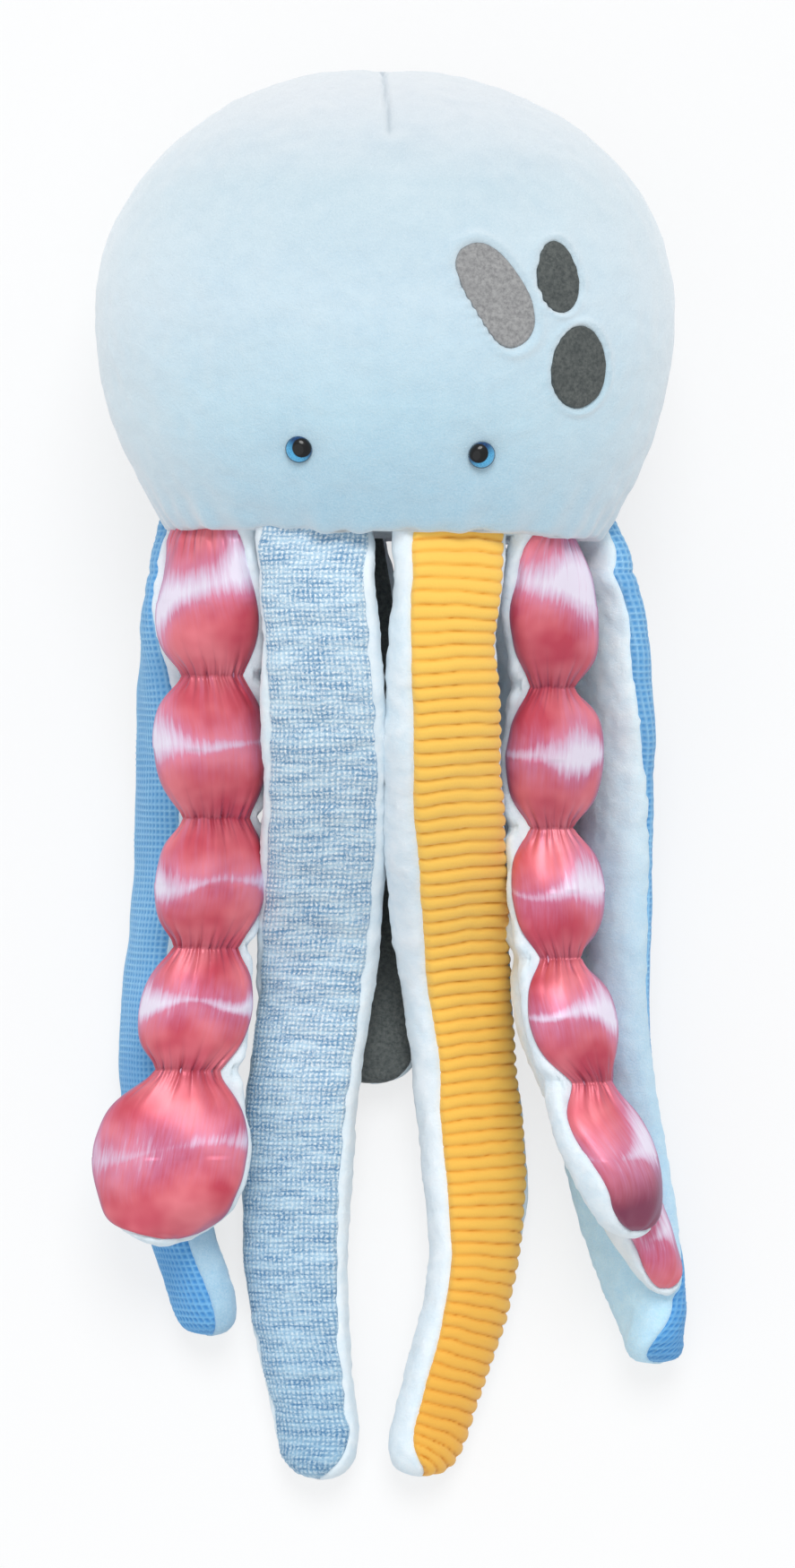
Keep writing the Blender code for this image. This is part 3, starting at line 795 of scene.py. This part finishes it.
def make_head(head, plush):
    sides = 310
    crown_rows = 125
    skirt_rows = 140
    angle = np.linspace(0, 2 * math.pi, sides, endpoint=False)
    roll = np.radians([80, 60, 40, 20])
    edge = head.rim - RIM_DROP + RIM_ROUND
    skirt = np.linspace(edge, head.wide_at, skirt_rows, endpoint=False)
    crown_angles = np.linspace(0, math.radians(89.3), crown_rows)
    crown = head.wide_at + (head.crown - head.wide_at) * np.sin(crown_angles)
    rolled = head.rim - RIM_DROP + RIM_ROUND * (1 - np.sin(roll))
    rows_y = np.concatenate([rolled, skirt, crown])
    width, depth = head.halves(rows_y)
    width[:len(roll)] -= RIM_ROUND * (1 - np.cos(roll))
    depth[:len(roll)] -= RIM_ROUND * (1 - np.cos(roll))
    x = head.middle_x + width[:, None] * np.sin(angle)[None, :]
    z = head.middle_z + depth[:, None] * np.cos(angle)[None, :]
    grid = np.stack([x, np.repeat(rows_y[:, None], sides, axis=1), z], axis=-1)
    keep_above_floor(grid)
    out = normals_of(grid, around=True)
    # One sewn join runs a little way down the front from the crown, in a groove painted darker as
    # shade
    height = ((rows_y - head.wide_at) / (head.crown - head.wide_at))[:, None]
    off = grid[..., 0] - head.middle_x - mix(0.0034, -0.0010, (height - 0.69) / 0.28)
    off = off + 0.0009 * noise(grid, 0.012, 33)
    shown = rise(height, 0.64, 0.08)
    crease_and_shade = bell(off, 0.0, 0.0015) * shown
    lift = -0.0026 * crease_and_shade - 0.0018 * bell(off, 0.0, 0.009) * shown
    lift[height[:, 0] > 0.998] = -0.001
    # A shallow dimple below the seam's end
    lift += dip(grid, head.front(head.middle_x + 0.008, head.wide_at + 0.074), 0.016, 0.0022)
    # Puckers just above the sewn rim
    above = (rows_y - head.rim)[:, None]
    pucker = np.sin(angle * 34 + 1.7 * np.sin(angle * 5)) * 0.6 + np.sin(angle * 21 + 2.0) * 0.4
    lift += 0.0012 * pucker[None, :] * bell(above, 0.0, 0.018)
    # Slow unevenness of the stuffing and the hollows round the eyes
    lift += 0.0014 * noise(grid, 0.055, 11) + 0.0007 * noise(grid, 0.026, 12)
    for node in ("eye_left", "eye_right"):
        lift += dip(grid, box_middle(node), 0.014, 0.0026)
    # The pile stands up round each patch and the cloth under the patch is sunk
    bare = np.ones(grid.shape[:2])
    for node in PATCHES:
        share = Outline(node).share(grid)
        bare *= rise(share, 0.90, 0.12)
        lift += 0.0017 * bell(share, 1.09, 0.08)
    lift = mix(UNDER_PATCH, lift, bare)
    lift += (0.00040 * noise(grid, 0.0105, 31) + 0.00035 * noise(grid, 0.0066, 32)) * bare
    # Where the back lies on the floor it is pressed flat
    lift[grid[..., 2] < 0.004] = 0.0
    grid = grid + out * lift[..., None]
    # The rim hangs a little lower on the right of the face
    slope = -0.0105 * (grid[..., 0] - head.middle_x) / head.rim_half_width
    near_rim = fall(grid[..., 1], head.rim, 0.09)
    grid[..., 1] += near_rim * (0.28 * slope + 0.0013 * noise(grid, 0.012, 14))
    keep_above_floor(grid)
    piece = tube_piece("head_plush", grid)
    # Painted shade along the groove, read by the material
    add_value(piece, "crease_and_shade", crease_and_shade)
    dress(piece, plush, "head")


def make_patch(head, node, material):
    """Grey pile let into the head, sunk at its stitched edge."""
    outline = Outline(node)
    angle = np.linspace(-math.pi, math.pi, 120, endpoint=False)
    outer = outline.reach(angle)
    kernel = np.hanning(9)
    wrapped = np.concatenate([outer[-4:], outer, outer[:4]])
    outer = 1.03 * np.convolve(wrapped, kernel / kernel.sum(), mode="valid")
    outer *= 1 + 0.009 * flat_noise(np.cos(angle), np.sin(angle), 0.16, 56)
    shares = np.concatenate([np.linspace(1.0, 0.88, 7), np.linspace(0.85, 0.02, 26)])
    x = outline.middle[0] + shares[:, None] * outer[None, :] * np.cos(angle)
    y = outline.middle[1] + shares[:, None] * outer[None, :] * np.sin(angle)
    surface = head.front(x, y)
    out = head.normal(x, y)
    inside = smoothstep((1 - shares) / 0.10)[:, None]
    height = mix(UNDER_PATCH, 0.0008, inside) + 0.0003 * inside * tufts(surface * 1.6, 57)
    top = surface + out * height[..., None]
    base = surface[:1] + out[:1] * -0.0035
    piece = tube_piece(node + "_pile", np.concatenate([base, top]))
    # Painted shade along the sunk edge, fading inwards
    add_value(piece, "sunk_edge_shade", np.repeat(np.concatenate([[1.0], 1 - inside[:, 0]]), len(angle)))
    dress(piece, material, node)


def make_eye(head, node, material, look):
    """Domed eye with its pupil turned towards the middle of the face."""
    middle = box_middle(node)
    normal = head.normal(middle[0], middle[1])
    origin = head.front(middle[0], middle[1]) - normal * EYE_SINK
    first = np.cross(normal, (0.0, 1.0, 0.0))
    first /= np.linalg.norm(first)
    second = np.cross(normal, first)
    angle = np.linspace(0, 2 * math.pi, 96, endpoint=False)[::-1, None]
    ring = np.cos(angle) * first + np.sin(angle) * second
    turn = np.radians(np.linspace(0, 88, 44))
    radius = EYE_RADIUS * np.concatenate([[0.6, 1.0], np.cos(turn)])
    height = np.concatenate([[0.0, 0.0], EYE_EDGE + EYE_DOME * np.sin(turn)])
    grid = origin + normal * height[:, None, None] + ring * radius[:, None, None]
    dome = tube_piece(node + "_dome", grid)
    across = (grid[..., 0] - origin[0]) / EYE_RADIUS
    up = (grid[..., 1] - origin[1]) / EYE_RADIUS
    outward = -np.sign(look) * across
    add_value(dome, "pupil", smoothstep((0.71 - np.hypot(across - look, up - 0.06)) / 0.06 + 0.5))
    add_value(dome, "rim", rise(np.hypot(across, up), 0.93, 0.06))
    # Painted light on the ring, lighter below and towards the outer side
    add_value(dome, "glow", smoothstep(0.35 + 0.55 * outward - 0.75 * up))
    dress(dome, material, node)


# Tentacles


def edges_of(line, rows):
    """Angles where the face begins and ends round the section, in radians, row by row."""
    right = np.full(len(rows), EDGES[line.name], dtype=float)
    left = right.copy()
    down = rows / line.reach
    if line.satin:
        near = gather_share(line, rows)[0]
        tight = mix(-22.0, -14.0, near)
        loose = mix(2.0, 34.0, near)
        right, left = (loose, tight) if line.name == "satin_left" else (tight, loose)
    if line.name == "satin_right":
        left = left + 22 * rise(down, 0.72, 0.2)
    if line.name == "ribbed":
        left = left + 14
    if line.name == "knit":
        left = left + 16 * rise(rows, 0.05, 0.05) * fall(rows, 0.22, 0.06)
    if line.name == "satin_rear":
        left = left + 26 + 12 * rise(down, 0.80, 0.12)
    if line.name == "waffle_right":
        left = left - 34 * fall(rows, 0.06, 0.15)
        left = left - 30 * rise(rows, line.reach - 0.050, 0.014)
    if line.satin:
        # The satin ends in a round edge, with a rim of plush left beside it
        into = np.clip((rows - (line.reach - line.hem - 0.017)) / 0.017, 0, 1)
        turned_in = 1 - np.sqrt(1 - 0.985 * into ** 2)
        right = mix(right, 84.0, turned_in)
        left = mix(left, 84.0, turned_in)
    return np.radians(right), math.pi - np.radians(left)


def make_body(line, plush):
    """Plush tube: its pile stands proud beside the face and lies low under it."""
    columns = 72
    rows = rows_along(line.start, line.reach, PLUSH_STEP, 12)
    angles = np.linspace(0, 2 * math.pi, columns, endpoint=False)[None, :] - math.pi / 2
    centre, side, outward, tight, half_thick = line.read(rows)
    half_widths = (tight, tight)
    if line.satin:
        # The plush side of a gathered tentacle is pinched less than its satin
        full = np.minimum(blur(line.halves, 12) * 1.10, line.halves.max(axis=0))
        wide = np.interp(rows, line.at, full[:, 0])
        ease = rise(rows, 0.0, 0.02) * smoothstep((line.reach - 0.03 - rows) / 0.02)
        loose = mix(tight, np.maximum(tight, wide), 0.85 * ease)
        half_widths = (loose, tight) if line.name == "satin_left" else (tight, loose)
    grid = section_grid(centre, side, outward, half_widths, half_thick, angles)
    out = normals_of(grid, around=True)
    right, left = [edge[:, None] for edge in edges_of(line, rows)]
    under_face = (angles > right + 0.06) & (angles < left - 0.06)
    under_face &= (rows < line.reach - line.hem)[:, None]
    proud = np.where(under_face, UNDER_SATIN if line.satin else UNDER_FACE, PILE)
    proud = blur(proud.T, 1).T
    shown = smoothstep(proud / 0.001)
    lift = proud + (TUFT * tufts(grid, 71) + 0.0012 * noise(grid, 0.030, 72)) * shown
    if line.satin:
        # The pile is drawn in near the necks, most on the outer side, and folds into each neck
        near = gather_share(line, rows)[0][:, None]
        outer = np.clip(np.cos(angles) * (-1 if line.name == "satin_left" else 1), 0, 1)
        lift -= (0.0022 * near ** 3 + 0.0034 * near * outer) * shown * rise(rows, 0.0, 0.03)[:, None]
        away = np.minimum(np.abs(angles - right), np.abs(angles - left))
        for neck in line.necks():
            fold = bell(rows[:, None], neck, 0.0028 + 0.004 * away)
            lift -= 0.0046 * fold * bell(away, 0.0, 0.9) * shown
    lift *= swell((line.reach - rows) / 0.005)[:, None]
    grid = grid + out * lift[..., None]
    keep_above_floor(grid)
    piece = tube_piece(line.name + "_tentacle_plush", grid)
    dress(piece, plush, line.name + "_tentacle_body")


class Cloth:
    """Fine even grid over the front of a tentacle, with distances along and across it."""

    def __init__(self, line, step, across_step):
        self.line = line
        self.rows = rows_along(line.start, line.reach - line.hem, step, 26)
        centre, side, outward, half_width, half_thick = line.read(self.rows)
        first, last = edges_of(line, self.rows)
        trial = mix(first[:, None], last[:, None], np.linspace(0, 1, 90)[None, :])
        wide, thick = superellipse(trial)
        wide = wide * half_width[:, None]
        thick = thick * half_thick[:, None]
        lengths = np.zeros_like(wide)
        lengths[:, 1:] = np.cumsum(np.hypot(np.diff(wide, axis=1), np.diff(thick, axis=1)), axis=1)
        total = lengths[:, -1]
        self.columns = int(total.max() / across_step)
        even = np.linspace(0, 1, self.columns)
        angles = np.array([np.interp(even * total[i], lengths[i], trial[i])
                           for i in range(len(self.rows))])
        half_widths = (half_width, half_width)
        self.grid = section_grid(centre, side, outward, half_widths, half_thick, angles)
        self.place = even[None, :]
        self.across = (self.place - 0.5) * total[:, None] + 0.5 * total.max()
        self.along = self.rows[:, None] + 0 * self.across

    def tuck(self, share=0.05):
        """How far the cloth has risen from its sewn edges, from 0 to 1."""
        return swell(np.minimum(self.place, 1 - self.place) / share)

    def finish(self, name, lift, material, slot, under_columns=7, **values):
        """Piece with the grid raised by lift, a plain underside and values for its material."""
        line = self.line
        out = normals_of(self.grid)
        closing = swell((line.reach - line.hem - self.rows) / 0.004)
        over = self.grid + out * (lift * closing[:, None])[..., None]
        picks = np.linspace(self.columns - 1, 0, under_columns).round().astype(int)
        under = (self.grid - out * CLOTH_DEPTH)[:, picks]
        ring = np.concatenate([over, under], axis=1)
        keep_above_floor(ring)
        uvs = np.stack([self.across - self.across.min(), self.along], axis=-1)
        under_uvs = np.repeat(uvs[:, :1], under_columns, axis=1)
        under_uvs[..., 0] = np.linspace(1, 0, under_columns)[None, :] * uvs[:, -1:, 0]
        piece = tube_piece(name, ring, np.concatenate([uvs, under_uvs], axis=1))
        for key, value in values.items():
            padding = ((0, 0), (0, under_columns))
            add_value(piece, key, np.pad(value, padding, constant_values=0.5))
        dress(piece, material, line.name + "_tentacle_face")


def make_knit(line, material):
    cloth = Cloth(line, KNIT_STEP, KNIT_STEP)
    grid = cloth.grid
    wobble = 0.0008 * noise(grid, 0.020, 81) + 0.0005 * noise(grid, 0.006, 84)
    u = (cloth.across + wobble) / STITCH
    v = (cloth.along + wobble + 0.0003 * np.abs((u % 1) - 0.5)) / (0.92 * STITCH)
    height = np.abs(np.sin(math.pi * u)) ** 0.9 * np.abs(np.sin(math.pi * v)) ** 0.9
    lift = (CLOTH + 0.00085 * height) * cloth.tuck()
    lift += 0.0010 * noise(grid, 0.022, 82) + 0.0012 * noise(grid * np.array([1, 2.4, 1]), 0.018, 83)
    cloth.finish("knit_face", lift, material, "melange_knit", stitch=height)


def make_waffle(line, material):
    cloth = Cloth(line, WAFFLE_STEP, WAFFLE_STEP)
    wobble = 0.0006 * noise(cloth.grid, 0.018, 91)
    u = np.abs(np.sin(math.pi * (cloth.across + wobble) / WAFFLE_CELL))
    v = np.abs(np.sin(math.pi * (cloth.along + wobble) / WAFFLE_CELL))
    ridge = 1 - np.minimum(u, v) ** 0.8
    lift = (CLOTH + 0.0010 * ridge) * cloth.tuck() + 0.0010 * noise(cloth.grid, 0.026, 92)
    cloth.finish(line.name + "_face", lift, material, "blue_waffle", ridge=ridge)


def make_grey(line, material):
    cloth = Cloth(line, GREY_STEP, GREY_STEP)
    lift = (CLOTH + 0.0010 + 0.7 * TUFT * tufts(cloth.grid, 95)) * cloth.tuck()
    cloth.finish("grey_rear_face", lift, material, "dark_grey_pile")


def make_ribbed(line, material):
    cloth = Cloth(line, RIB_STEP, RIB_ACROSS_STEP)
    x = cloth.grid[..., 0]
    slant = blur(np.gradient(x.mean(axis=1), cloth.rows), 20)[:, None]
    bow = (x - x.mean(axis=1, keepdims=True)) * slant
    bow = bow - 0.0016 * (2 * cloth.across / cloth.across.max() - 1) ** 2
    sway = 0.0007 * flat_noise(cloth.across * 2, cloth.along, 0.018, 101)
    phase = (cloth.along + bow + sway) / RIB_PITCH
    crown = np.abs(np.sin(math.pi * phase)) ** 0.42
    fat = 0.00045 * flat_noise(np.floor(phase) * 0.7, cloth.across * 30, 1.0, 102)
    lift = (CLOTH - 0.0006 + (0.0027 + fat) * crown) * cloth.tuck(0.06)
    lift += 0.0010 * noise(cloth.grid, 0.03, 103)
    # The crowns also set the material's painted shade in the grooves
    cloth.finish("ribbed_face", lift, material, "yellow_rib", crown=crown)


def gather_share(line, rows):
    """Nearness to a neck, from 0 to 1, the bead's number and the place along the bead."""
    bounds = np.array([0.0] + line.necks() + [line.reach])
    number = np.clip(np.searchsorted(bounds, rows, side="right") - 1, 0, len(bounds) - 2)
    start = bounds[number]
    end = bounds[number + 1]
    share = np.clip((rows - start) / (end - start), 0, 1)
    to_end = np.where(number == len(bounds) - 2, 1.0, end - rows)
    near = np.exp(-(np.minimum(np.abs(rows - start), to_end) / line.NECK_LENGTH) ** 1.3)
    return near, number, share


def painted_highlight_of(name, bead, share, place, near, pleat):
    """Strength of the painted highlight: one uneven band across each bead, wide on the first, with
    painted glints on pleat crests near the necks.
    """
    def wave(across, along, seed):
        return flat_noise(place * across, bead * along, 1.0, seed)

    from_right = 1 - place
    first = bead == 0
    last = bead == bead.max()
    middle = 0.47 + 0.10 * wave(2.6, 5.3, 121) + 0.03 * wave(6.0, 3.1, 122)
    if name == "satin_left":
        # Painted highlight brightest at the left, a thin line in the middle, a spot at the right
        middle = middle + np.where(first, 0.30 * (0.5 - from_right), 0.0)
        breadth = 0.045 + 0.10 * bell(from_right, 0.06, 0.26) + 0.04 * bell(from_right, 0.93, 0.10)
        strength = 0.66 + 0.42 * bell(from_right, 0.04, 0.24) + 0.35 * bell(from_right, 0.94, 0.09)
        strength = strength - 0.16 * last
    else:
        # Painted highlight brightest right of the middle, a thin line at the left
        middle = middle + np.where(first, 0.22 * (from_right - 0.5) - 0.08, 0.0)
        middle = middle + 0.17 * last * (name == "satin_rear")
        breadth = 0.035 + 0.13 * bell(from_right, 0.62, 0.24)
        strength = 0.50 + 0.62 * bell(from_right, 0.62, 0.26)
    breadth = breadth * (1 + 0.5 * wave(5.4, 2.3, 123)) + np.where(first, 0.075, 0.0)
    breadth = breadth * np.where(share < middle, 1.4, 0.85)
    strength = strength + 0.30 * wave(4.1, 4.1, 124) + 0.20 * first
    band = np.exp(-np.abs((share - middle) / np.maximum(breadth, 0.02)) ** 1.5)
    band = band * np.clip(strength, 0.2, 1.2)
    halo = 0.33 * bell(share, middle, 0.19) * (1 + 0.5 * wave(3.2, 6.1, 126))
    # Painted glints on the pleat crests near the necks
    crests = np.clip(pleat - 0.25, 0, 1) * near ** 0.8 * (share < 0.4)
    crests = crests * np.clip(wave(6.0, 2.9, 125), 0, 1)
    return np.clip(np.maximum(band, halo) + 1.2 * crests, 0, 1)


def shade_of(name, rows, bead, share, place, near, pleat):
    """Depth of the shade between pleats, near the necks and on the lower half of each bead."""
    shade = np.clip(-pleat - 0.2, 0, 1) * near ** 1.5 * 0.55
    shade = shade + 0.24 * near ** 2 * rise(rows, 0.0, 0.02)[:, None]
    shade = shade + 0.16 * rise(share, 0.55, 0.4)
    if name == "satin_right":
        # It turns away from the light at its right side and its last bead
        turned = smoothstep((0.30 - place) / 0.25)
        shade = shade + (0.34 * turned + 0.10) * rise(share, 0.25, 0.3)
        last = bead == bead.max()
        shade = shade + 0.85 * last * rise(share + 0.25 * (1 - place), 0.50, 0.40)
    return np.clip(shade, 0, 1)


def make_satin(line, material):
    """Gathered satin: full beads, with pleats that run out from the necks between them."""
    cloth = Cloth(line, SATIN_STEP, SATIN_STEP)
    near, number, share = [values[:, None] for values in gather_share(line, cloth.rows)]
    bead = number.astype(float)
    place = cloth.place
    # Pleats leave each gathered neck, fewer and wider as they run out over the bead
    key = np.where(share < 0.5, bead, bead + 1)
    drift = flat_noise(place * 5, key * 3.7, 1.0, 111)
    warp = place + 0.05 * drift + 0.02 * (1 - near) * np.sin(key * 5 + place * 6)
    fine = np.cos(2 * math.pi * (warp * 15 + key * 0.37))
    middle = 2 * np.abs(np.sin(math.pi * (warp * 9 + key * 0.71))) ** 0.55 - 1.4
    broad = np.cos(2 * math.pi * (warp * 3.2 + key * 0.23))
    uneven = 0.6 + 0.5 * flat_noise(place * 11, key * 1.9, 1.0, 113)
    pleats = 0.0007 * fine * near ** 2.2 + 0.0017 * middle * uneven * near ** 1.2
    folds = 0.0009 * broad * (0.35 + 0.65 * near)
    puff = 0.0040 * np.sin(math.pi * share) ** 0.7 * np.sin(math.pi * place) ** 0.6
    stitched = bell(near, 1.0, 0.05)
    beads = 0.0006 * np.abs(np.sin(math.pi * place * 22)) * stitched
    lift = (CLOTH + pleats + folds) * cloth.tuck(0.08) + puff - 0.0008 * stitched + beads
    lift += 0.0005 * noise(cloth.grid, 0.014, 112)
    lift *= rise(cloth.rows, -0.004, 0.012)[:, None]
    # Painted highlight and painted shade, stored as values for the material
    glow = painted_highlight_of(line.name, bead, share, place, near, middle)
    shade = shade_of(line.name, cloth.rows, bead, share, place, near, middle)
    cloth.finish(line.name + "_face", lift, material, "coral_satin", under_columns=9,
                 glow=glow, shade=shade)


# Floor, light and camera


def make_stage():
    mesh = bpy.data.meshes.new("floor")
    shape = bmesh.new()
    bmesh.ops.create_grid(shape, x_segments=1, y_segments=1, size=FLOOR_HALF)
    shape.to_mesh(mesh)
    shape.free()
    floor = bpy.data.objects.new("floor", mesh)
    floor.location = (0.0, 0.0, FLOOR_Z)
    bpy.context.scene.collection.objects.link(floor)
    n = Nodes("pale_floor")
    n.set(Base_Color=(0.85, 0.86, 0.87, 1.0), Roughness=0.9, Specular_IOR_Level=0.1)
    rays = n.add("LightPath").outputs
    seen = n.math("MAXIMUM", rays["Is Camera Ray"], rays["Is Glossy Ray"])
    seen = n.math("MAXIMUM", seen, rays["Is Transmission Ray"])
    glow = n.add("Emission", {"Color": WHITE, "Strength": 1.0})
    join = n.add("MixShader", {"Fac": n.times(seen, FLOOR_GLOW)})
    for socket, source in zip(join.inputs[1:], (n.shader, glow)):
        n.put(socket, source.outputs[0])
    n.put(n.tree.nodes["Material Output"].inputs["Surface"], join.outputs["Shader"])
    mesh.materials.append(n.material)


def make_world():
    world = bpy.data.worlds.new("studio")
    bpy.context.scene.world = world
    world.use_nodes = True
    back = world.node_tree.nodes["Background"]
    back.inputs["Color"].default_value = (0.97, 0.985, 1.0, 1.0)
    back.inputs["Strength"].default_value = ROOM_LIGHT


def add_sun(name, strength, spread, tilt):
    light = bpy.data.lights.new(name, "SUN")
    light.energy = strength
    light.angle = math.radians(spread)
    lamp = bpy.data.objects.new(name, light)
    lamp.rotation_euler = [math.radians(value) for value in tilt]
    bpy.context.scene.collection.objects.link(lamp)


def make_camera():
    data = bpy.data.cameras.new("camera")
    data.sensor_width = SENSOR
    data.lens = SENSOR * (CAMERA_HEIGHT - PIXEL_PLANE) / (PHOTO_HEIGHT * PIXEL)
    data.clip_end = 50.0
    camera = bpy.data.objects.new("camera", data)
    camera.location = (*CAMERA_PLACE, CAMERA_HEIGHT)
    bpy.context.scene.collection.objects.link(camera)
    bpy.context.scene.camera = camera


def main():
    make_camera()
    make_stage()
    make_world()
    add_sun("key", 1.42, 28, (-32, 4, 0))
    add_sun("fill", 0.35, 60, (20, -20, 0))
    bpy.context.scene.view_settings.view_transform = "Standard"

    head = Head()
    # Painted shade on the head: darker and bluer towards the rim, greyer at the crown
    painted_shade_tints = [(0.04, (0.46, 0.66, 0.77)), (0.22, (0.61, 0.79, 0.87)), (0.47, (0.77, 0.86, 0.91)),
             (0.72, (0.67, 0.76, 0.80)), (0.94, (0.79, 0.75, 0.76))]
    # Painted shadow on the right side tentacle's plush, darker and bluer towards its tip, and a little
    # less red at the top
    painted_shadow_right = [(0.0, (0.60, 0.86, 0.98)), (0.25, (0.58, 0.82, 0.95)), (0.52, (0.60, 0.77, 0.86)),
             (0.70, (0.66, 0.83, 0.91)), (0.97, (0.93, 1.0, 1.0))]
    # Painted shade on the left side tentacle's plush, darker and bluer towards its tip
    painted_shade_left = [(0.0, (0.42, 0.64, 0.78)), (0.4, (0.60, 0.78, 0.88)), (0.97, (1.0, 1.0, 1.0))]
    # Head plush: its last colour is the painted sheen on its sides
    head_plush = plush_material("head_plush_pile", (226, 238, 244), (219, 233, 241),
                                (234, 242, 246), (head.rim, head.crown, painted_shade_tints),
                                (244, 248, 250))
    plush = plush_material("pale_plush_pile", (234, 244, 250), (218, 235, 245),
                           (245, 250, 253))
    painted_shade_plush = {}
    for name, stops in (("waffle_right", painted_shadow_right), ("waffle_left", painted_shade_left)):
        painted_shade_plush[name] = plush_material(name + "_pile", (242, 248, 253), (226, 240, 250),
                                          (250, 252, 255), (-0.30, 0.04, stops))
    piles = {"light_grey_pile": pile_material("light_grey", (168, 168, 168), (134, 134, 135)),
             "dark_grey_pile": pile_material("dark_grey", (102, 106, 104), (72, 77, 77))}
    eyes = eye_material()
    makers = {"waffle": (make_waffle, waffle_material()),
              "satin": (make_satin, satin_material()),
              "grey": (make_grey, piles["dark_grey_pile"]),
              "knit": (make_knit, knit_material()),
              "ribbed": (make_ribbed, rib_material())}

    make_head(head, head_plush)
    for node, slot in PATCHES.items():
        make_patch(head, node, piles[slot])
    make_eye(head, "eye_left", eyes, 0.20)
    make_eye(head, "eye_right", eyes, -0.20)

    for name in EDGES:
        line = Line(name)
        make_body(line, painted_shade_plush.get(name, plush))
        make_face, cloth = makers[name.split("_")[0]]
        make_face(line, cloth)


main()
